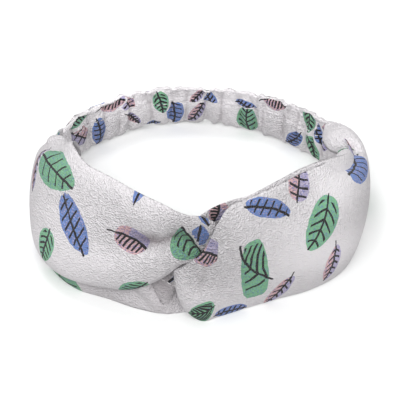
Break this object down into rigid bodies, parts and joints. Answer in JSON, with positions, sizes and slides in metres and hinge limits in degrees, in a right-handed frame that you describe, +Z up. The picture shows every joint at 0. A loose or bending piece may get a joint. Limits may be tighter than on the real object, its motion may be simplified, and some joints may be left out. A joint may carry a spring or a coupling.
{
  "type": "knotted headband",
  "caption": "Elastic headband of printed cloth: two wide folded loops hooked through each other in a front knot, with a narrow gathered casing over an elastic band at the back.",
  "frame": {"origin": "centre of the ring's box on the surface that the headband stands on", "axes": "+Z up out of the ring, +X to the right of the knot seen from the front, +Y to the gathered back; the knot is at -Y"},
  "size_m": [0.1501, 0.1552, 0.0577],
  "materials": {
    "loop_cloth": "crepe, printed with small leaves",
    "casing_cloth": "crepe, printed with small leaves",
    "elastic": "woven elastic webbing",
    "thread": "polyester thread"
  },
  "bodies": {
    "front": {"left_loop": "loop_cloth", "right_loop": "loop_cloth", "left_loop_seam": "thread", "right_loop_seam": "thread", "left_join_stitching": "thread", "right_join_stitching": "thread"},
    "back": {"back_casing": "casing_cloth", "elastic_band": "elastic", "casing_seam": "thread", "left_elastic_tack": "thread", "right_elastic_tack": "thread"}
  },
  "joints": [
    {"name": "elastic_stretch", "type": "slide", "parent": "front", "child": "back", "axis": [0, 1, 0], "range_m": [0, 0.04], "stiffness_N_per_m": 150, "deforming": ["back_casing", "elastic_band", "casing_seam", "left_elastic_tack", "right_elastic_tack"]}
  ]
}
